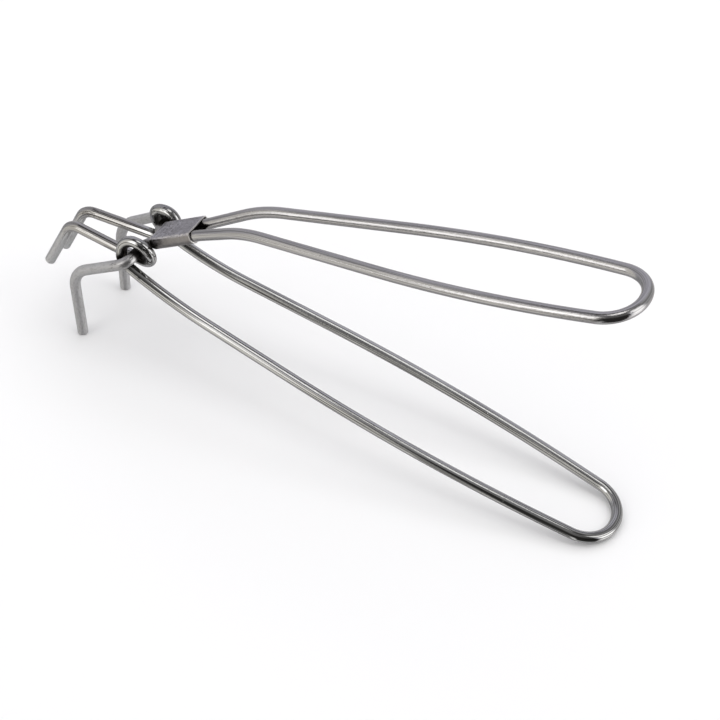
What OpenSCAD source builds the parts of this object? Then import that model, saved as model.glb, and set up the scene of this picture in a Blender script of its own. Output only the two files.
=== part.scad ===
// Crucible tongs bent from two lengths of round steel wire.
//
// The upper wire runs from its handle loop through a crimped sleeve, turns outwards to be the pivot, and
// ends in two legs. The lower wire makes an eye round each side of that pivot and ends in two hooks, which
// hold the rim of a crucible against the legs. Lengths are in millimetres. X runs from the jaws to the
// handles, Z is up, and the middle plane is Y = 0. The origin is under the middle of the open tongs.

/* [Wire] */
// Diameter of both wires
wire_d = 4; // [3.6:0.1:4.2]
// Chamfer on the cut ends of the hooks
end_chamfer = 0.3; // [0.1:0.1:0.6]

/* [Pivot] */
// Distance from the middle of the tongs to the pivot, towards the jaws
pivot_back = 71.6; // [68:0.2:76]
// Height of the pivot when the tongs stand open
pivot_h = 47.4; // [46:0.2:49]
// Radius of the upper wire's bends beside the sleeve
pivot_inner_bend_r = 3.4; // [3:0.1:3.6]
// Radius of the upper wire's bends outside the eyes
pivot_outer_bend_r = 4; // [3:0.1:4.4]

/* [Eyes] */
// Radius of an eye, to the middle of its wire
eye_r = 5.3; // [5.1:0.05:5.5]
// Distance from the middle plane to the start of an eye, at its bottom
eye_inner_y = 7.25; // [7.15:0.05:7.4]
// Distance from the middle plane to the top of an eye
eye_top_y = 9.9; // [9.7:0.05:10]
// Distance from the middle plane to the end of an eye, at its bottom
eye_outer_y = 11.7; // [11.6:0.05:11.8]

/* [Upper handle] */
// Distance from the pivot to the closed end of the loop
upper_reach = 180.1; // [170:0.5:195]
// Height of the closed end of the loop
upper_end_h = 106.2; // [100:0.5:115]
// Radius of the closed end
upper_loop_r = 12.2; // [11:0.1:12.3]
// Half of the loop's width where its sides meet the closed end
upper_end_y = 11.4; // [11.2:0.1:13]
// Distance from the pivot to the widest part of the loop
upper_bow_x = 131.6; // [128:0.2:133]
// Half of the spread towards which the sides of the loop run
upper_bow_y = 15.8; // [15:0.1:16.5]
// Radius of the bow in each side
upper_bow_r = 400; // [300:5:410]
// Distance from the pivot to the bend where the loop starts
upper_neck_x = 42.1; // [40:0.1:46]
// Half of the loop's width at that bend
upper_neck_y = 6.6; // [6:0.1:7.5]
// Height of that bend
upper_neck_h = 74.3; // [72:0.1:76]
// Radius of that bend
upper_neck_r = 47; // [30:1:50]

/* [Crimped sleeve] */
// Length of the sleeve
sleeve_l = 19.7; // [17:0.1:21]
// Distance from the pivot to the sleeve, along the wires
sleeve_start = 4.9; // [4:0.1:5.5]
// Thickness of its sheet metal
sleeve_t = 0.55; // [0.4:0.05:0.6]
// Half of the distance between the two wires inside it
sleeve_y = 3.65; // [3.5:0.05:3.7]
// How far the flat top reaches past each wire's crest before it folds down
sleeve_brim = 1.2; // [0.8:0.1:1.3]
// Inside radius of the fold along each side of the flat top
sleeve_fold_r = 0.45; // [0.3:0.05:0.8]
// Extra room between the flat top and the wires' crests
sleeve_top_gap = 0.03; // [0.02:0.01:0.1]
// Clearance between the sleeve and the wires
sleeve_gap = 0.03; // [0.02:0.01:0.05]
// Width of the seam along its underside
sleeve_seam = 0.3; // [0.2:0.1:0.8]
// Distance from the pivot to the bend where the wires leave the sleeve
sleeve_bend_x = 22.6; // [22:0.1:24]
// Height of that bend
sleeve_bend_h = 61.8; // [61:0.1:63]
// Radius of that bend
sleeve_bend_r = 30; // [20:1:40]

/* [Legs] */
// Half of the spread of the arms outside the eyes
arm_y = 16.2; // [16.1:0.1:16.5]
// Distance from the pivot to the bend where an arm turns down into its leg
leg_bend_x = 24.6; // [22:0.1:28]
// Half of the spread at that bend
leg_bend_y = 15.1; // [14:0.1:16]
// Height of that bend
leg_bend_h = 31; // [28:0.1:33]
// Radius of that bend
leg_bend_r = 13.5; // [5:0.5:15]
// Distance from the pivot to the foot of a leg
leg_foot_x = 23.4; // [22:0.1:26]
// Half of the spread of the feet
leg_foot_y = 14.2; // [13.5:0.1:15]

/* [Lower handle] */
// Distance from the pivot to the closed end of the loop
lower_reach = 186.2; // [176:0.5:200]
// Radius of the closed end
lower_loop_r = 12.2; // [11:0.1:12.3]
// Half of the loop's width where its sides meet the closed end
lower_end_y = 11.5; // [11.3:0.1:13]
// Distance from the pivot to the widest part of the loop
lower_bow_x = 117.6; // [112:0.2:119]
// Half of the spread towards which the sides of the loop run
lower_bow_y = 17.7; // [17:0.1:18.5]
// Height of the sides there
lower_bow_h = 14.6; // [14:0.1:15.5]
// Radius of the bow in each side
lower_bow_r = 730; // [600:5:740]
// Distance from the pivot to the bend below the sleeve
lower_neck_x = 15.1; // [14.5:0.1:16]
// Half of the wires' spread at that bend
lower_neck_y = 12.1; // [11.8:0.1:12.6]
// Height of that bend
lower_neck_h = 33.5; // [33:0.1:34.2]
// Radius of that bend
lower_neck_r = 130; // [60:5:140]
// Distance below the pivot at which the wire leaves an eye
lower_exit_drop = 4.5; // [4:0.1:5]

/* [Hooks] */
// Distance from the pivot to the bend where the wire turns down into a hook
hook_bend_x = 31.9; // [30:0.1:34]
// Half of the spread at that bend
hook_bend_y = 4.5; // [4:0.1:5]
// Height of that bend
hook_bend_h = 42.9; // [41:0.1:45]
// Radius of that bend
hook_bend_r = 6.5; // [5:0.5:9]
// Distance from the pivot to the end of a hook
hook_end_x = 43; // [38:0.1:46]
// Half of the spread of the hook ends
hook_end_y = 4.8; // [4:0.1:5.5]
// Height of the hook ends
hook_end_h = 20; // [17:0.1:24]

/* [Hidden] */
wire_r = wire_d / 2;
bend_swell = 0.01;
lap = 0.1;
// How far the sleeve's flat flanks lie inside the rounds that they join
flank_lap = 0.01;
below_table = 2;
trim_margin = 10;
steel = [0.72, 0.72, 0.74];
polished_steel = [0.8, 0.8, 0.81];
sheet_steel = [0.6, 0.6, 0.63];

// Corners that the middle of one side of each wire would pass through if it had no bend radii.
upper_corners = [
    [upper_reach, 0, upper_end_h],
    [upper_reach, upper_end_y, upper_end_h],
    [upper_bow_x, upper_bow_y, on_line(upper_bow_x, [upper_neck_x, upper_neck_h], [upper_reach, upper_end_h])],
    [upper_neck_x, upper_neck_y, upper_neck_h],
    [sleeve_bend_x, sleeve_y, sleeve_bend_h],
    [0, sleeve_y, pivot_h],
    [0, arm_y, pivot_h],
    [-leg_bend_x, leg_bend_y, leg_bend_h],
    foot_below_table()
];
upper_radii = [
    upper_loop_r, upper_bow_r, upper_neck_r, sleeve_bend_r, pivot_inner_bend_r, pivot_outer_bend_r, leg_bend_r
];

// An eye is four quarter bends. Its wire is level at the bottom and the top, and climbs and drops between.
eye_half = norm([eye_outer_y - eye_top_y, 2 * eye_r]) / 2;
eye_bend_r = eye_half - 2 * lap;
lower_corners = [
    [lower_reach, 0, wire_r],
    [lower_reach, lower_end_y, wire_r],
    [lower_bow_x, lower_bow_y, lower_bow_h],
    [lower_neck_x, lower_neck_y, lower_neck_h],
    [-eye_half, eye_outer_y, pivot_h - lower_exit_drop],
    [-eye_half, eye_top_y, pivot_h + eye_r],
    [eye_half, eye_top_y, pivot_h + eye_r],
    [eye_half, eye_inner_y, pivot_h - eye_r],
    [-hook_bend_x, hook_bend_y, hook_bend_h],
    [-hook_end_x, hook_end_y, hook_end_h]
];
lower_radii = [
    lower_loop_r, lower_bow_r, lower_neck_r, eye_bend_r, eye_bend_r, eye_bend_r, eye_bend_r, hook_bend_r
];

// Height at x on the straight line through two points, each given as [x, height].
function on_line(x, a, b) = a.y + (b.y - a.y) * (x - a.x) / (b.x - a.x);

// The leg's line carried on a little below the table, where the leg is cut off flush.
function foot_below_table() =
    let (bend = [-leg_bend_x, leg_bend_y, leg_bend_h], foot = [-leg_foot_x, leg_foot_y, 0])
    foot + (foot - bend) * below_table / leg_bend_h;

function unit(v) = v / norm(v);
function direction(corners, i) = unit(corners[i + 1] - corners[i]);
function turn_at(corners, i) = acos(direction(corners, i - 1) * direction(corners, i));

// What a bend takes off the straight length on each side of its corner.
function setback(corners, radii, i) =
    i == 0 || i == len(corners) - 1 ? 0 : radii[i - 1] * tan(turn_at(corners, i) / 2);
function straight_length(corners, radii, i) =
    norm(corners[i + 1] - corners[i]) - setback(corners, radii, i) - setback(corners, radii, i + 1);

// Moves a shape so that its origin is at a point, its +Z runs along one unit vector and its +X along another.
module set_along(point, z, x) {
    y = cross(z, x);
    multmatrix([for (row = [0:2]) [x[row], y[row], z[row], point[row]]]) children();
}

// The bend at corner i: a piece of a ring, a hair thicker than the straight lengths that run into it.
module bend(corners, radii, i) {
    before = direction(corners, i - 1);
    after = direction(corners, i);
    radius = radii[i - 1];
    start = corners[i] - before * setback(corners, radii, i);
    inwards = unit(after - before * (before * after));
    set_along(start + inwards * radius, cross(before, inwards), -inwards)
        rotate_extrude(angle = turn_at(corners, i), $fn = max(64, ceil(radius)))
            translate([radius, 0]) circle(wire_r + bend_swell, $fn = 36);
}

// The straight length from corner i to the next, run on a little into the bends at its ends.
module straight(corners, radii, i) {
    along = direction(corners, i);
    start = corners[i] + along * (setback(corners, radii, i) - lap);
    length = straight_length(corners, radii, i) + 2 * lap;
    set_along(start, along, unit(cross(along, [along.y, along.z, -along.x])))
        cylinder(h = length, r = wire_r, $fn = 36);
}

// The last length, with its cut end chamfered.
module end_length(corners, radii, chamfer) {
    i = len(corners) - 2;
    along = direction(corners, i);
    start = corners[i] + along * (setback(corners, radii, i) - lap);
    length = straight_length(corners, radii, i) + lap;
    set_along(start, along, unit(cross(along, [along.y, along.z, -along.x])))
        rotate_extrude($fn = 36)
            polygon([[0, 0], [wire_r, 0], [wire_r, length - chamfer], [wire_r - chamfer, length], [0, length]]);
}

// A whole wire, mirrored about the middle plane, from the corners and bend radii of one side.
module bent_wire(corners, radii, chamfer) {
    first = straight_length(corners, radii, 0) + lap;
    translate([-pivot_back, 0, 0]) {
        translate(corners[0]) rotate([90, 0, 0]) cylinder(h = 2 * first, r = wire_r, center = true, $fn = 36);
        for (side = [0, 1])
            mirror([0, side, 0]) {
                for (i = [1:len(corners) - 2]) bend(corners, radii, i);
                for (i = [1:len(corners) - 3]) straight(corners, radii, i);
                end_length(corners, radii, chamfer);
            }
    }
}

module upper_handle_wire() {
    color(steel)
        difference() {
            bent_wire(upper_corners, upper_radii, end_chamfer);
            translate([-pivot_back - leg_foot_x, 0, -trim_margin / 2])
                cube([2 * trim_margin, 2 * (leg_foot_y + trim_margin), trim_margin], center = true);
        }
}

module lower_handle_wire() {
    color(polished_steel) bent_wire(lower_corners, lower_radii, end_chamfer);
}

// Outline round the two wires inside the sleeve, grown by a distance. Its top is flat between two folds.
module sleeve_outline(grow) {
    r = wire_r + grow;
    fold_r = sleeve_fold_r + grow;
    fold_y = sleeve_y + sleeve_brim;
    fold_up = wire_r - sleeve_fold_r + sleeve_top_gap;
    // The flank touches the round over the wire and the fold above it, both square to this direction.
    lean = atan2(fold_up, sleeve_brim) - acos((r - fold_r) / norm([sleeve_brim, fold_up]));
    out = [cos(lean), sin(lean)];
    flank = [
        [sleeve_y, 0],
        [sleeve_y, 0] + (r - flank_lap) * out,
        [fold_y, fold_up] + (fold_r - flank_lap) * out,
        [fold_y, fold_up + fold_r],
    ];
    translate([0, -r / 2]) square([2 * sleeve_y, r], center = true);
    polygon(concat(flank, [for (i = [3:-1:0]) [-flank[i][0], flank[i][1]]]));
    for (side = [-1, 1]) {
        translate([side * sleeve_y, 0]) circle(r, $fn = 64);
        translate([side * fold_y, fold_up]) circle(fold_r, $fn = 64);
    }
}

module crimp_sleeve() {
    slope = atan2(sleeve_bend_h - pivot_h, sleeve_bend_x);
    color(sheet_steel)
        translate([-pivot_back, 0, pivot_h])
            rotate([0, 90 - slope, 0])
                translate([0, 0, sleeve_start])
                    rotate(90)
                        linear_extrude(sleeve_l)
                            difference() {
                                sleeve_outline(sleeve_gap + sleeve_t);
                                sleeve_outline(sleeve_gap);
                                translate([0, -wire_r - sleeve_t])
                                    square([sleeve_seam, 2 * wire_r], center = true);
                            }
}

upper_handle_wire();
lower_handle_wire();
crimp_sleeve();
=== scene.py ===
"""Crucible tongs: the bent wires, the crimped sleeve, their steels, and a plain studio round them.

The pieces' lengths are in millimetres until mesh_object() scales them to metres. The materials, the studio
and the camera are in metres. The frame is the CAD model's: X runs from the jaws to the handles, Z is up, and
the middle plane is Y = 0.
"""

import math

import bpy
import numpy as np
from mathutils import Matrix, Vector


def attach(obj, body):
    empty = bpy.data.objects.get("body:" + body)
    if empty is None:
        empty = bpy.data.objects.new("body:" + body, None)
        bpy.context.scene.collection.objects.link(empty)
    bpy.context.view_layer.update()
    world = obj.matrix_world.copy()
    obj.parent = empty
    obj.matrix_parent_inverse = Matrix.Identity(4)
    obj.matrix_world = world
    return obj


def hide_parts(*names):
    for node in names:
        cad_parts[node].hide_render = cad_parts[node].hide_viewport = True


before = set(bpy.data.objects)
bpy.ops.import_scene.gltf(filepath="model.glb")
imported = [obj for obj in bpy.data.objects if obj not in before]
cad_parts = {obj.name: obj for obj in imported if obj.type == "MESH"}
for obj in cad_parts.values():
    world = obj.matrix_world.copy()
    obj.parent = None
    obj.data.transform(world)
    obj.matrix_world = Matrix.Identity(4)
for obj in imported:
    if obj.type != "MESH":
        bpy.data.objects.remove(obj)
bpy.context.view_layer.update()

MM = 0.001

# ---- The wires' lines: corners and bend radii of one side, from the middle of the loop to the end ----
# X is measured from the pivot, and Y and Z from the middle plane and the table.
WIRE_R = 2.0
PIVOT_H = 47.4
PIVOT = np.array([-71.6, 0.0, PIVOT_H])
EYE_R = 5.3  # radius of the eye's centre line
EYE_OUTER_Y, EYE_TOP_Y, EYE_INNER_Y = 11.7, 9.9, 7.25
EYE_HALF = math.hypot(EYE_OUTER_Y - EYE_TOP_Y, 2 * EYE_R) / 2
EYE_BEND_R = EYE_HALF - 0.2
SLEEVE_Y = 3.65  # half of the spread of the two wires in the sleeve

UPPER_CORNERS = [
    [180.1, 0, 106.2],
    [180.1, 11.4, 106.2],  # the loop's round end
    [131.6, 15.8, None],  # the widest place; its height follows below
    [42.1, 6.6, 74.3],
    [22.6, SLEEVE_Y, 61.8],  # where the two wires start to run side by side
    [0, SLEEVE_Y, PIVOT_H],
    [0, 16.2, PIVOT_H],
    [-24.6, 15.1, 31],  # where the arm turns down into its leg
    [-23.4, 14.2, 0],
]
round_end, widest, neck, run_start, pivot_corner = UPPER_CORNERS[1:6]
# Seen from the side, the widest place is on the straight line between its neighbours.
widest[2] = neck[2] + (round_end[2] - neck[2]) * (widest[0] - neck[0]) / (round_end[0] - neck[0])
UPPER_RADII = [12.2, 400, 47, 30, 3.4, 4, 13.5]

LOWER_CORNERS = [
    [186.2, 0, WIRE_R],
    [186.2, 11.5, WIRE_R],  # the loop's round end
    [117.6, 17.7, 14.6],  # the widest place
    [15.1, 12.1, 33.5],
    [-EYE_HALF, EYE_OUTER_Y, PIVOT_H - 4.5],  # four corners round the eye
    [-EYE_HALF, EYE_TOP_Y, PIVOT_H + EYE_R],
    [EYE_HALF, EYE_TOP_Y, PIVOT_H + EYE_R],
    [EYE_HALF, EYE_INNER_Y, PIVOT_H - EYE_R],
    [-31.9, 4.5, 42.9],  # where the jaw turns down into its hook
    [-43, 4.8, 20],
]
LOWER_RADII = [12.2, 730, 130, EYE_BEND_R, EYE_BEND_R, EYE_BEND_R, EYE_BEND_R, 6.5]

# The wires' cut ends have a small rounding left by sawing and deburring: distances from the end, and radii.
ROUNDED_END = [(0.0, 1.62), (0.03, 1.76), (0.1, 1.88), (0.22, 1.955), (0.42, 1.998), (0.8, 1.998)]
RING_GAP = 0.4  # the least distance from the rounding to the next ring of points
BEND_STEP = 2.5  # degrees of a bend from one ring of points to the next, at most
TOOL_REACH = 6  # how far from a tight bend the bending tool leaves its marks

# ---- The sleeve, along the wires from the pivot ----
SLEEVE_START, SLEEVE_LENGTH = 4.9, 19.7
SLEEVE_T, SLEEVE_GAP = 0.55, 0.03  # the sheet's thickness, and the clearance round the wires
SEAM_HALF = 0.16  # half of the seam's width
EDGE_R = 0.12  # rounding of the sheet's cut edges
FOLD_R, FOLD_Y = 0.45, SLEEVE_Y + 1.2  # the folds along the flat top: inside radius, and how far out
FOLD_UP = WIRE_R - FOLD_R + SLEEVE_GAP
# The flanks run straight from the wires to the folds. This is the direction that they face.
FOLD_LEAN = math.atan2(FOLD_UP, FOLD_Y - SLEEVE_Y) - math.acos(
    (WIRE_R - FOLD_R) / math.hypot(FOLD_UP, FOLD_Y - SLEEVE_Y)
)
FLANK_FADE = 0.7  # how far above the folds' centres the painted shade on the flanks has gone
UNDER_FOLD_UP = 1.9  # how high the line of painted shade under each fold lies
SLEEVE_SLOPE = math.atan2(run_start[2] - pivot_corner[2], run_start[0] - pivot_corner[0])


def unit(v):
    return v / np.linalg.norm(v)


def centre_line(corners, radii, spacing):
    """Points along one side of a wire, from the middle plane to its end."""
    c = [np.array(p, float) for p in corners]
    points, at = [c[0]], c[0]

    def run_to(end):
        nonlocal at
        length = np.linalg.norm(end - at)
        if length > 1e-6:
            n = max(1, math.ceil(length / spacing))
            points.extend(at + (end - at) * k / n for k in range(1, n + 1))
        at = end

    for i in range(1, len(c) - 1):
        before, after = unit(c[i] - c[i - 1]), unit(c[i + 1] - c[i])
        turn = math.acos(np.clip(before @ after, -1, 1))
        r = radii[i - 1]
        back = r * math.tan(turn / 2)
        run_to(c[i] - before * back)
        inwards = unit(after - before * (before @ after))
        middle = at + inwards * r
        n = max(2, math.ceil(math.degrees(turn) / BEND_STEP), math.ceil(r * turn / spacing))
        for k in range(1, n + 1):
            a = turn * k / n
            points.append(middle - inwards * r * math.cos(a) + before * r * math.sin(a))
        at = points[-1]
    run_to(c[-1])
    return np.array(points)


def whole_line(corners, radii, spacing=1.2):
    """Both sides of a wire as one line, from one end to the other."""
    one = centre_line(corners, radii, spacing)
    other = one[:0:-1] * [1, -1, 1]
    return np.vstack([other, one]) + [PIVOT[0], 0, 0]


def mirrored(v, normal):
    """v as seen in a mirror that stands square to normal."""
    return v - 2 / (normal @ normal) * (normal @ v) * normal


def carried_frames(line):
    """The direction ahead and one to the side at each point, carried along the line without twist.

    From each point to the next the side is mirrored twice: half way between them, and then so that the
    direction ahead comes out right.
    """
    steps = np.gradient(line, axis=0)
    along = steps / np.linalg.norm(steps, axis=1)[:, None]
    side = unit(np.cross(along[0], [0, 1, 0]))
    sides = [side]
    for i in range(len(line) - 1):
        step = line[i + 1] - line[i]
        side = mirrored(side, step)
        turned = along[i + 1] - mirrored(along[i], step)
        if turned @ turned > 1e-12:
            side = mirrored(side, turned)
        side = unit(side)
        sides.append(side)
    return along, np.array(sides)


def eased(value, start, end):
    """0 to 1 as value goes from start to end."""
    t = np.clip((np.asarray(value, float) - start) / (end - start), 0, 1)
    return t * t * (3 - 2 * t)


def mesh_object(name, points, faces, straight, flat_faces, **masks):
    """A smooth mesh piece whose last flat_faces faces are flat.

    straight holds each point's place on the piece as if it were unbent, and each mask a number per point
    from 0 to 1. The materials read them by name.
    """
    mesh = bpy.data.meshes.new(name)
    mesh.from_pydata((np.array(points) * MM).tolist(), [], faces)
    mesh.shade_smooth()
    for face in mesh.polygons[len(faces) - flat_faces :]:
        face.use_smooth = False
    layer = mesh.attributes.new("unbent", "FLOAT_VECTOR", "POINT")
    layer.data.foreach_set("vector", (np.array(straight) * MM).astype(np.float32).ravel())
    for mask, values in masks.items():
        layer = mesh.attributes.new(mask, "FLOAT", "POINT")
        layer.data.foreach_set("value", np.asarray(values, np.float32))
    piece = bpy.data.objects.new(name, mesh)
    bpy.context.scene.collection.objects.link(piece)
    return piece


def distance_to_line(points, line):
    """Distance from each point to the nearest stretch of a line."""
    a, b = line[:-1], line[1:]
    run = b - a
    best = np.full(len(points), 1e9)
    for start, step in zip(a, run):
        t = np.clip((points - start) @ step / (step @ step), 0, 1)
        best = np.minimum(best, np.linalg.norm(points - start - t[:, None] * step, axis=1))
    return best


def swept_wire(name, line, neighbour, tip, around=48, flush_floor=False):
    """A round wire along a line, its two cut ends slightly rounded.

    neighbour is the line of the wire beside it, and tip the length at each end that is dull from use.
    flush_floor cuts the ends level with the table instead of square.
    """
    along, sides = carried_frames(line)
    lengths = np.concatenate([[0], np.cumsum(np.linalg.norm(np.diff(line, axis=0), axis=1))])
    total = lengths[-1]

    def between(values, s):
        """The values that belong to the length s along the line."""
        return np.array([np.interp(s, lengths, values[:, i]) for i in range(3)])

    end_places = [place for place, _ in ROUNDED_END]
    end_radii = [radius for _, radius in ROUNDED_END]
    rounded = end_places[-1]
    middle = [s for s in lengths if rounded + RING_GAP < s < total - rounded - RING_GAP]
    places = end_places + middle + [total - d for d in reversed(end_places)]
    radii = end_radii + [WIRE_R] * len(middle) + end_radii[::-1]
    turning = np.linalg.norm(np.gradient(along, lengths, axis=0), axis=1)
    angles = np.linspace(0, 2 * math.pi, around, endpoint=False)
    points, straight, worked, tips = [], [], [], []
    for s, r in zip(places, radii):
        centre, side, ahead = between(line, s), unit(between(sides, s)), unit(between(along, s))
        up = np.cross(ahead, side)
        near_end = min(s, total - s)
        bend = np.interp(np.linspace(s - TOOL_REACH, s + TOOL_REACH, 9), lengths, turning).max()
        for a in angles:
            point = centre + r * (math.cos(a) * side + math.sin(a) * up)
            if flush_floor and near_end <= rounded:
                # Each point runs along the wire to the height of this ring above the table.
                point = point - ahead * (point[2] - near_end) / ahead[2]
            points.append(point)
            straight.append([r * math.cos(a), r * math.sin(a), s])
            worked.append(bend)
            tips.append(near_end)
    rings = len(places)
    faces = []
    for i in range(rings - 1):
        first, second = i * around, (i + 1) * around
        for j in range(around):
            k = (j + 1) % around
            faces.append([first + j, first + k, second + k, second + j])
    for ring, turn in ((0, -1), (rings - 1, 1)):
        first = ring * around
        hub = len(points)
        points.append(np.mean(points[first : first + around], axis=0))
        straight.append([0, 0, places[ring]])
        worked.append(0)
        tips.append(0)
        for j in range(around):
            a, b = first + j, first + (j + 1) % around
            faces.append([hub, a, b] if turn > 0 else [hub, b, a])
    # The masks. Each eased() says where one starts to show and where it is full.
    points = np.array(points)
    off_axis = np.hypot(points[:, 0] - PIVOT[0], points[:, 2] - PIVOT[2])
    across = np.abs(points[:, 1])
    inside_eye = eased(off_axis, EYE_R + 0.4, EYE_R - 0.9) * eased(across, 13.5, 12) * eased(across, 4, 5.5)
    off_neighbour = distance_to_line(points, neighbour) - WIRE_R
    against_neighbour = eased(off_neighbour, 3.0, 1.2) * eased(off_axis, 14, 8)
    return mesh_object(
        name,
        points,
        faces,
        straight,
        2 * around,
        worked=eased(worked, 0.10, 0.17),  # by how tightly it is bent, in radians per millimetre
        # crevice: where painted shade, with some grime, darkens the wire, inside the eyes and against the
        # other wire
        crevice=np.maximum(inside_eye, against_neighbour),
        handled=eased(points[:, 0], 40, 100),
        dull=eased(tips, tip + 8, tip - 8),
        # Painted shade, with a brown tint from the flame, on the jaws short of the tips.
        heated=eased(points[:, 0], PIVOT[0] - 4, PIVOT[0] - 14) * eased(tips, tip - 4, tip + 8),
    )


upper_line = whole_line(UPPER_CORNERS, UPPER_RADII)
lower_line = whole_line(LOWER_CORNERS, LOWER_RADII)
upper_wire = swept_wire("upper_wire", upper_line, lower_line, tip=57, flush_floor=True)
lower_wire = swept_wire("lower_wire", lower_line, upper_line, tip=20)


# ---- The sleeve: sheet folded round the two wires, its seam underneath ----
def sleeve_ring(grow):
    """Outline points (across, up) round the two wires, from the seam under the middle back to the seam."""
    r, fold = WIRE_R + SLEEVE_GAP + grow, FOLD_R + SLEEVE_GAP + grow
    round_wire = np.linspace(-math.pi / 2, FOLD_LEAN, 16)
    round_fold = np.linspace(FOLD_LEAN, math.pi / 2, 9)
    half = [(y, -r) for y in np.linspace(SEAM_HALF, SLEEVE_Y, 7)[:-1]]
    half += [(SLEEVE_Y + r * math.cos(a), r * math.sin(a)) for a in round_wire]
    half += [(FOLD_Y + fold * math.cos(a), FOLD_UP + fold * math.sin(a)) for a in round_fold]
    top = [(y, FOLD_UP + fold) for y in np.linspace(FOLD_Y, -FOLD_Y, 19)[1:-1]]
    return half + top + [(-y, up) for y, up in reversed(half)]


SLEEVE_ALONG = np.array([math.cos(SLEEVE_SLOPE), 0, math.sin(SLEEVE_SLOPE)])
SLEEVE_UP = np.array([-math.sin(SLEEVE_SLOPE), 0, math.cos(SLEEVE_SLOPE)])


def make_sleeve():
    """The sheet as rows of outlines, closed into a ring of rows.

    A row is how far its outline is grown, its share of the length, and how far the length keeps back from
    the sheet's ends. They run from the middle of the inner face, out round the edge at the jaws, along the
    outer face and back in.
    """
    quarter = np.linspace(0, math.pi / 2, 4)
    rounding = [(EDGE_R * (1 - math.cos(a)), EDGE_R * (1 - math.sin(a))) for a in quarter]
    rows = [(0.0, t, EDGE_R) for t in np.linspace(0.5, 0.02, 8)]
    rows += [(grow, 0.0, back) for grow, back in rounding]
    rows += [(SLEEVE_T - grow, 0.0, back) for grow, back in reversed(rounding)]
    rows += [(SLEEVE_T, t, EDGE_R) for t in np.linspace(0.02, 0.98, 40)]
    rows += [(SLEEVE_T - grow, 1.0, back) for grow, back in rounding]
    rows += [(grow, 1.0, back) for grow, back in reversed(rounding)]
    rows += [(0.0, t, EDGE_R) for t in np.linspace(0.98, 0.5, 8)[:-1]]
    points, straight, crevice, edges = [], [], [], []
    for grow, t, back in rows:
        s = SLEEVE_START + back + (SLEEVE_LENGTH - 2 * back) * t
        inside = float(eased(grow, 0.3 * SLEEVE_T, 0))
        jaw_end = float(eased(s - SLEEVE_START, 2.8, 0.6))
        from_end = min(s - SLEEVE_START, SLEEVE_START + SLEEVE_LENGTH - s)
        for y, up in sleeve_ring(grow):
            points.append(PIVOT + SLEEVE_ALONG * s + SLEEVE_UP * up + np.array([0, y, 0]))
            straight.append([s, y, up])
            # The crevice mask marks where shade is painted: the inner face, and low on the jaw end.
            crevice.append(max(inside, jaw_end * float(eased(up, 2.5, 2.0))))
            # This mask carries a painted highlight along the sheet's cut ends.
            edges.append(float(eased(from_end, 0.5, 0.05)))
    m, n = len(rows), len(sleeve_ring(0))
    faces = []
    for i in range(m):
        k = (i + 1) % m
        for j in range(n - 1):
            faces.append([i * n + j, i * n + j + 1, k * n + j + 1, k * n + j])
    # The two long edges of the sheet, which face each other across the seam.
    faces.append([i * n for i in range(m)])
    faces.append([i * n + n - 1 for i in reversed(range(m))])
    return mesh_object("sleeve", points, faces, straight, 2, crevice=crevice, edges=edges)


sleeve = make_sleeve()


# ---- Materials ----
class Graph:
    """Short names for building a tree of shader nodes."""

    def __init__(self, tree):
        self.tree = tree

    def link(self, a, b):
        self.tree.links.new(a, b)

    def node(self, kind, **settings):
        n = self.tree.nodes.new(kind)
        for key, value in settings.items():
            setattr(n, key, value)
        return n

    def feed(self, value, socket):
        """Links another node's output to a socket, or sets the socket to a number or a colour."""
        if isinstance(value, tuple):
            socket.default_value = (*value, 1)
        elif isinstance(value, (int, float)):
            socket.default_value = value
        else:
            self.link(value, socket)

    def maths(self, operation, a, b=0.0):
        n = self.node("ShaderNodeMath", operation=operation)
        self.feed(a, n.inputs[0])
        self.feed(b, n.inputs[1])
        return n.outputs["Value"]

    def product(self, a, b):
        return self.maths("MULTIPLY", a, b)

    def total(self, a, b):
        return self.maths("ADD", a, b)

    def rest(self, share):
        """What share leaves of 1."""
        return self.maths("SUBTRACT", 1.0, share)

    def mixed(self, factor, a, b):
        n = self.node("ShaderNodeMix", data_type="RGBA")
        self.feed(factor, n.inputs["Factor"])
        self.feed(a, n.inputs["A"])
        self.feed(b, n.inputs["B"])
        return n.outputs["Result"]


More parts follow.
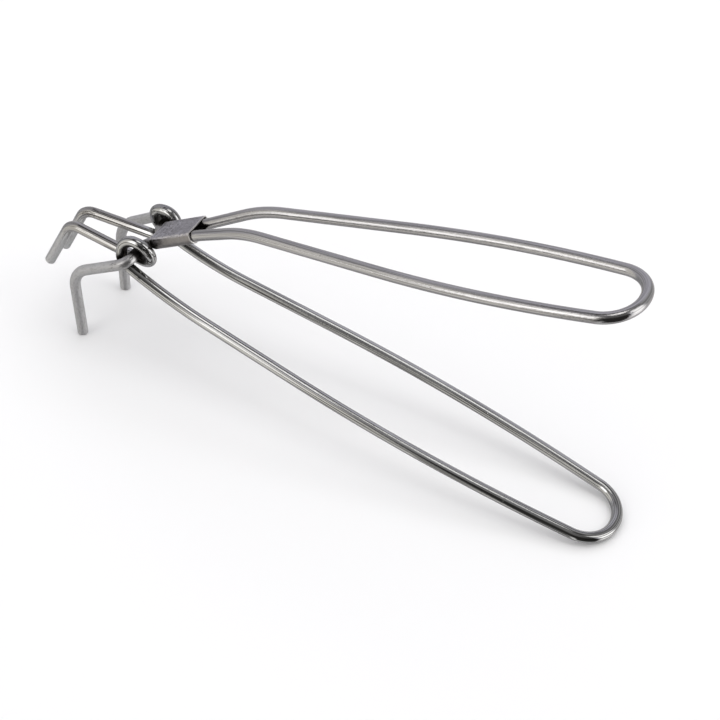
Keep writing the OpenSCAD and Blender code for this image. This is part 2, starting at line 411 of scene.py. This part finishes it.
class Finish(Graph):
    """A material whose patterns lie on the piece as if it were unbent. Their scales are per metre."""

    def __init__(self, name):
        self.mat = bpy.data.materials.new(name)
        self.mat.use_nodes = True
        super().__init__(self.mat.node_tree)
        self.shader = self.tree.nodes["Principled BSDF"]

    def unbent(self):
        return self.node("ShaderNodeAttribute", attribute_name="unbent").outputs["Vector"]

    def mask(self, name):
        return self.node("ShaderNodeAttribute", attribute_name=name).outputs["Fac"]

    def place(self, scale):
        """The unbent place on the piece, stretched by scale."""
        mapping = self.node("ShaderNodeMapping")
        mapping.inputs["Scale"].default_value = scale
        self.link(self.unbent(), mapping.inputs["Vector"])
        return mapping.outputs["Vector"]

    def noise(self, scale, detail=2.0, rough=0.5):
        n = self.node("ShaderNodeTexNoise")
        n.inputs["Scale"].default_value = 1.0
        n.inputs["Detail"].default_value = detail
        n.inputs["Roughness"].default_value = rough
        self.link(self.place(scale), n.inputs["Vector"])
        return n.outputs["Fac"]

    def cells(self, scale):
        n = self.node("ShaderNodeTexVoronoi")
        n.inputs["Scale"].default_value = 1.0
        self.link(self.place(scale), n.inputs["Vector"])
        return n.outputs["Distance"]

    def spread(self, value, low, high, to_low, to_high):
        """to_low to to_high as value goes from low to high."""
        n = self.node("ShaderNodeMapRange")
        n.inputs["From Min"].default_value = low
        n.inputs["From Max"].default_value = high
        n.inputs["To Min"].default_value = to_low
        n.inputs["To Max"].default_value = to_high
        self.link(value, n.inputs["Value"])
        return n.outputs["Result"]

    def bump(self, height, distance, strength, normal=None):
        n = self.node("ShaderNodeBump")
        n.inputs["Strength"].default_value = strength
        n.inputs["Distance"].default_value = distance
        self.link(height, n.inputs["Height"])
        if normal is not None:
            self.link(normal, n.inputs["Normal"])
        return n.outputs["Normal"]


# A dark brown for painted shade in crevices, with some grime.
GRIME_AND_SHADE = (0.020, 0.016, 0.013)


def wire_steel(name, light, dark, rough, lines_per_metre, line_bump, grain_bump, pit_share, heat, streaks):
    """Drawn wire, worn dull at the tips.

    light and dark are the colours that it is streaked with. rough gives the roughness in the middle, at the
    handle's end and on the tips. The two bumps are how strongly drawing lines and grain show in its relief.
    pit_share is how full the pits are, heat how much painted shade, with a brown tint from the flame,
    darkens it next to the tips, and streaks how dark the lines left by the drawing die are.
    """
    m = Finish(name)
    dull, worked = m.mask("dull"), m.mask("worked")
    # The dull tips scatter some light as well.
    m.link(m.rest(m.product(dull, 0.33)), m.shader.inputs["Metallic"])
    fine = m.noise((7000, 7000, lines_per_metre), 3.0, 0.6)  # drawing lines
    broad = m.noise((1500, 1500, lines_per_metre / 2), 2.0)  # streaks of duller and brighter metal
    cloud = m.noise((150, 150, 70), 3.0)
    grain = m.noise((1500, 1500, 600), 4.0, 0.65)

    tone = m.total(m.product(fine, 0.4), m.product(broad, 0.6))
    colour = m.mixed(m.spread(tone, 0.35, 0.65, 0.0, 1.0), dark, light)
    colour = m.mixed(m.product(dull, 0.7), colour, (0.60, 0.60, 0.61))
    speckle = m.product(m.spread(grain, 0.48, 0.64, 0.0, 0.5), dull)
    colour = m.mixed(speckle, colour, (0.36, 0.35, 0.34))
    # Thin dark lines left by the drawing die run along the wire here and there.
    drawn = m.product(m.spread(m.noise((3000, 3000, 24), 1.0), 0.56, 0.60, 0.0, streaks), m.rest(dull))
    colour = m.mixed(drawn, colour, (0.10, 0.095, 0.09))
    pits = m.spread(m.cells((700, 700, 500)), 0.06, 0.16, 1.0, 0.0)
    pitted = m.product(pits, m.spread(m.noise((260, 260, 70), 2.0), 0.57, 0.65, 0.0, pit_share))
    colour = m.mixed(pitted, colour, (0.10, 0.09, 0.085))
    # Painted shade with a brown tint from the flame darkens the jaws next to the tips.
    colour = m.mixed(m.product(m.mask("heated"), heat), colour, (0.33, 0.30, 0.27))
    # Tool marks: the jaws of the bending tool leave short scars at and beside the tight bends.
    scar_lines = m.spread(m.noise((1500, 1500, 420), 2.0), 0.56, 0.62, 0.0, 1.0)
    scar_places = m.spread(m.noise((230, 230, 160), 1.0), 0.52, 0.60, 0.0, 1.0)
    scars = m.product(m.product(scar_lines, scar_places), worked)
    scars = m.product(scars, m.rest(m.product(dull, 0.7)))
    colour = m.mixed(m.product(scars, 0.85), colour, (0.07, 0.065, 0.06))
    # Painted shade, with some grime, darkens the crevices inside the eyes and against the other wire.
    shade_and_grime = m.product(m.mask("crevice"), m.spread(cloud, 0.35, 0.55, 0.88, 1.0))
    m.link(m.mixed(shade_and_grime, colour, GRIME_AND_SHADE), m.shader.inputs["Base Color"])

    middle, handle_end, tips = rough
    base = m.total(middle, m.product(m.mask("handled"), handle_end - middle))
    base = m.total(base, m.product(dull, tips - middle))
    uneven = m.total(m.product(cloud, 0.6), m.product(fine, 0.4))
    varied = m.product(base, m.spread(uneven, 0.35, 0.65, 0.75, 1.25))
    varied = m.total(varied, m.product(m.maths("MAXIMUM", pitted, scars), 0.25))
    m.link(m.total(varied, m.product(shade_and_grime, 0.3)), m.shader.inputs["Roughness"])

    lines = m.bump(m.total(fine, m.product(broad, 0.8)), 0.00002, line_bump)
    worn = m.bump(m.product(grain, m.total(m.product(dull, 0.5), 0.4)), 0.0003, grain_bump, lines)
    scarred = m.bump(m.product(scars, -1.0), 0.00008, 0.7, worn)
    dented = m.bump(m.product(m.noise((260, 260, 300), 1.0), worked), 0.0002, 0.5, scarred)
    m.link(m.bump(m.product(pitted, -1.0), 0.00008, 0.6, dented), m.shader.inputs["Normal"])
    return m.mat


def sheet_steel(name):
    """Pressed sheet, mottled by the crimping tool, with painted shade on its flanks and painted highlights
    along its folds and cut edges.
    """
    m = Finish(name)
    m.shader.inputs["Metallic"].default_value = 1.0
    grain = m.noise((300, 4200, 4200), 3.0, 0.6)
    cloud = m.noise((240, 240, 240), 4.0)
    dents = m.noise((520, 520, 520), 3.0, 0.6)
    split = m.node("ShaderNodeSeparateXYZ")
    m.link(m.unbent(), split.inputs[0])
    along, across, up = split.outputs

    tone = m.total(m.product(grain, 0.4), m.product(cloud, 0.6))
    colour = m.mixed(m.spread(tone, 0.38, 0.62, 0.0, 1.0), (0.40, 0.386, 0.414), (0.72, 0.705, 0.75))
    scuffs = m.spread(m.noise((1100, 1100, 1100), 3.0, 0.6), 0.50, 0.57, 0.0, 0.75)
    scuffs = m.product(scuffs, m.spread(cloud, 0.40, 0.60, 0.2, 1.0))
    colour = m.mixed(scuffs, colour, (0.20, 0.19, 0.20))
    # Painted shade darkens the flanks below the folds.
    flank_shade = m.spread(up, FOLD_UP * MM, (FOLD_UP + FLANK_FADE) * MM, 1.0, 0.0)
    colour = m.mixed(m.product(flank_shade, 0.8), colour, (0.30, 0.28, 0.265))
    # A painted highlight runs in a wandering line along each fold over the wires.
    wander = m.spread(m.noise((500, 0, 0), 2.0), 0.3, 0.7, -0.0002, 0.0002)
    off_fold = m.maths("SUBTRACT", m.total(m.maths("ABSOLUTE", across), wander), (FOLD_Y + FOLD_R) * MM)
    fold = m.spread(m.maths("ABSOLUTE", off_fold), 0.0001, 0.0004, 1.0, 0.0)
    fold = m.product(fold, m.spread(up, 0.0016, 0.0022, 0.0, 1.0))
    fold_highlight = m.product(fold, m.spread(m.noise((700, 300, 300), 2.0), 0.40, 0.60, 0.0, 1.0))
    # Painted highlight along the folds and within half a millimetre of the cut ends.
    colour = m.mixed(m.maths("MAXIMUM", fold_highlight, m.mask("edges")), colour, (0.80, 0.78, 0.77))
    # Painted shade lies in a thin line under each fold, thickest towards the jaws.
    under_fold = m.maths("ABSOLUTE", m.maths("SUBTRACT", up, UNDER_FOLD_UP * MM))
    line = m.spread(under_fold, 0.00008, 0.0003, 1.0, 0.0)
    line = m.product(line, m.spread(along, 0.008, 0.016, 0.9, 0.0))
    line = m.product(line, m.spread(m.noise((900, 300, 300), 2.0), 0.42, 0.55, 0.1, 1.0))
    # Painted shade on the inner face and low on the jaw end, joined to the painted shade line under the
    # folds.
    shade_and_grime = m.product(m.mask("crevice"), m.spread(cloud, 0.35, 0.55, 0.85, 1.0))
    shade_and_grime = m.maths("MAXIMUM", shade_and_grime, line)
    m.link(m.mixed(shade_and_grime, colour, GRIME_AND_SHADE), m.shader.inputs["Base Color"])

    rough = m.spread(tone, 0.35, 0.65, 0.26, 0.42)
    m.link(m.total(rough, m.product(shade_and_grime, 0.3)), m.shader.inputs["Roughness"])

    rolled = m.bump(grain, 0.00002, 0.35)
    folded = m.bump(fold, 0.00010, 0.6, rolled)
    m.link(m.bump(dents, 0.00040, 0.8, folded), m.shader.inputs["Normal"])
    return m.mat


satin = wire_steel(
    "satin_drawn_steel",
    light=(0.645, 0.635, 0.635),
    dark=(0.47, 0.462, 0.462),
    rough=(0.20, 0.06, 0.56),
    lines_per_metre=90,
    line_bump=0.28,
    grain_bump=0.6,
    pit_share=0.9,
    heat=0.0,
    streaks=0.3,
)
polished = wire_steel(
    "polished_steel",
    light=(0.72, 0.722, 0.72),
    dark=(0.52, 0.52, 0.515),
    rough=(0.06, 0.04, 0.40),
    lines_per_metre=12,
    line_bump=0.12,
    grain_bump=0.14,
    pit_share=0.5,
    heat=0.4,
    streaks=0.75,
)
sheet = sheet_steel("pressed_sheet_steel")

for piece, material, body, node, slot in (
    (upper_wire, satin, "upper", "upper_handle_wire", "satin_wire"),
    (lower_wire, polished, "lower", "lower_handle_wire", "polished_wire"),
    (sleeve, sheet, "upper", "crimp_sleeve", "sheet_sleeve"),
):
    piece.data.materials.append(material)
    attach(piece, body)
    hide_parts(node)
    # The CAD node that the piece replaces gets the same steel.
    for cad_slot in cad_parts[node].material_slots:
        cad_slot.material = material

# ---- The studio ----
HALF_FLOOR = 3  # half of the floor's width
floor_mesh = bpy.data.meshes.new("floor")
floor_corners = [(x * HALF_FLOOR, y * HALF_FLOOR, 0) for x, y in ((-1, -1), (1, -1), (1, 1), (-1, 1))]
floor_mesh.from_pydata(floor_corners, [], [[0, 1, 2, 3]])
floor = bpy.data.objects.new("floor", floor_mesh)
bpy.context.scene.collection.objects.link(floor)
paper = Finish("pale_paper")
paper.shader.inputs["Base Color"].default_value = (0.9, 0.9, 0.905, 1)
paper.shader.inputs["Roughness"].default_value = 0.9
floor.data.materials.append(paper.mat)

# The soft box lights the table and the steel. The steel mirrors neither box nor table, but the room below.
light = bpy.data.lights.new("overhead", "AREA")
light.shape = "RECTANGLE"
light.size, light.size_y = 2.6, 2.2
light.energy = 21.0
soft_box = bpy.data.objects.new("overhead", light)
bpy.context.scene.collection.objects.link(soft_box)
soft_box.location = (0.0, 0.15, 1.3)
soft_box.rotation_euler = (-soft_box.location).to_track_quat("-Z", "Y").to_euler()
soft_box.visible_glossy = False
floor.visible_glossy = False


class Room(Graph):
    """The studio as the steel mirrors it: pale panels and dark gaps at directions round the object.

    Azimuth is 0 towards -Y and 90 towards +X; elevation is above the table. Both are in degrees.
    """

    def __init__(self, colour):
        world = bpy.data.worlds.new("studio")
        bpy.context.scene.world = world
        world.use_nodes = True
        super().__init__(world.node_tree)
        self.tree.nodes.clear()
        out = self.node("ShaderNodeOutputWorld")
        self.background = self.node("ShaderNodeBackground")
        self.link(self.background.outputs[0], out.inputs[0])
        split = self.node("ShaderNodeSeparateXYZ")
        self.link(self.node("ShaderNodeTexCoord").outputs["Generated"], split.inputs[0])
        to_right, to_back, upward = split.outputs
        self.azimuth = self.degrees(self.maths("ARCTAN2", to_right, self.product(to_back, -1.0)))
        self.elevation = self.degrees(self.maths("ARCSINE", upward))
        self.colour = colour

    def degrees(self, angle):
        return self.product(angle, 180 / math.pi)

    def step(self, value, start, end):
        """0 to 1 as value goes from start to end, eased."""
        n = self.node("ShaderNodeMapRange", interpolation_type="SMOOTHSTEP")
        n.inputs["From Min"].default_value = min(start, end)
        n.inputs["From Max"].default_value = max(start, end)
        n.inputs["To Min"].default_value = 0.0 if start < end else 1.0
        n.inputs["To Max"].default_value = 1.0 if start < end else 0.0
        self.link(value, n.inputs["Value"])
        return n.outputs["Result"]

    def add(self, colour, across=None, upward=None):
        """Lays a panel over what is there.

        across and upward each give where it starts to show, is full, stops being full and is gone.
        """
        mask = None
        for value, edges in ((self.azimuth, across), (self.elevation, upward)):
            if edges is None:
                continue
            for start, end in ((edges[0], edges[1]), (edges[3], edges[2])):
                if start is None:
                    continue
                edge = self.step(value, start, end)
                mask = edge if mask is None else self.product(mask, edge)
        self.colour = self.mixed(mask, self.colour, colour)
        self.link(self.colour, self.background.inputs["Color"])


room = Room((0.525, 0.52, 0.575))
# Walls and ceiling: a darker wall to the left, one behind, the ceiling, its darker part and its lamp.
room.add((0.42, 0.415, 0.44), across=(-140, -115, -80, -55))
room.add((0.40, 0.40, 0.405), across=(112, 125, 165, 178))
room.add((0.28, 0.275, 0.285), upward=(50, 62, None, None))
room.add((0.18, 0.178, 0.18), across=(15, 35, 150, 172), upward=(50, 62, 76, 82))
room.add((1.55, 1.54, 1.52), upward=(75, 80, None, None))
# Two dark beams under the ceiling on the left.
room.add((0.05, 0.048, 0.048), across=(-130, -120, -98, -84), upward=(54, 58, 65, 69))
room.add((0.08, 0.075, 0.07), across=(-60, -50, -36, -27), upward=(50, 55, 63, 68))
# The table: its far parts, the shadow under the object, and a darker edge to the left.
room.add((0.59, 0.58, 0.58), upward=(None, None, -12, 4))
room.add((0.37, 0.37, 0.372), upward=(None, None, -68, -54))
room.add((0.34, 0.34, 0.35), across=(-145, -125, -85, -72), upward=(None, None, -8, 6))
# The left panel: a dim screen and the bright panel in front of it.
room.add((0.74, 0.72, 0.675), across=(-80, -62, -5, 0), upward=(-50, -30, 46, 56))
room.add((1.85, 1.83, 1.81), across=(-44, -36, -20, -10), upward=(0, 10, 46, 58))
# The dark side of the room, where the photographer stands, and the gaps and table below it.
room.add((0.16, 0.158, 0.155), across=(-9, 2, 70, 80), upward=(None, None, 52, 66))
room.add((0.03, 0.029, 0.028), across=(-7, 2, 68, 78), upward=(-52, -38, 26, 46))
room.add((0.28, 0.275, 0.265), across=(-18, -12, -5, 0), upward=(-30, -18, -4, 8))
room.add((0.60, 0.60, 0.60), across=(-7, 3, 68, 78), upward=(None, None, -60, -46))
room.add((0.70, 0.695, 0.69), across=(0, 7, 14, 22), upward=(None, None, -30, -8))
# The right panel.
room.add((1.6, 1.59, 1.58), across=(74, 88, 108, 124), upward=(-38, -26, 54, 68))

scene = bpy.context.scene
scene.view_settings.view_transform = "Standard"

# ---- The camera ----
AZIMUTH, ELEVATION, ROLL = (math.radians(v) for v in (26.0, 45.84, 3.47))
CAMERA_PLACE = Vector((0.2049, -0.3913, 0.4783))
LENS, SENSOR_WIDTH = 89.47, 36
back = Vector(
    (math.sin(AZIMUTH) * math.cos(ELEVATION), -math.cos(AZIMUTH) * math.cos(ELEVATION), math.sin(ELEVATION))
)
right = Vector((math.cos(AZIMUTH), math.sin(AZIMUTH), 0))
up = back.cross(right)
rolled_right = math.cos(ROLL) * right + math.sin(ROLL) * up
rolled_up = -math.sin(ROLL) * right + math.cos(ROLL) * up
lens = bpy.data.cameras.new("camera")
lens.lens = LENS
lens.sensor_width = SENSOR_WIDTH
lens.clip_end = 20
camera = bpy.data.objects.new("camera", lens)
scene.collection.objects.link(camera)
columns = Matrix((rolled_right, rolled_up, back)).transposed()
camera.matrix_world = Matrix.Translation(CAMERA_PLACE) @ columns.to_4x4()
scene.camera = camera
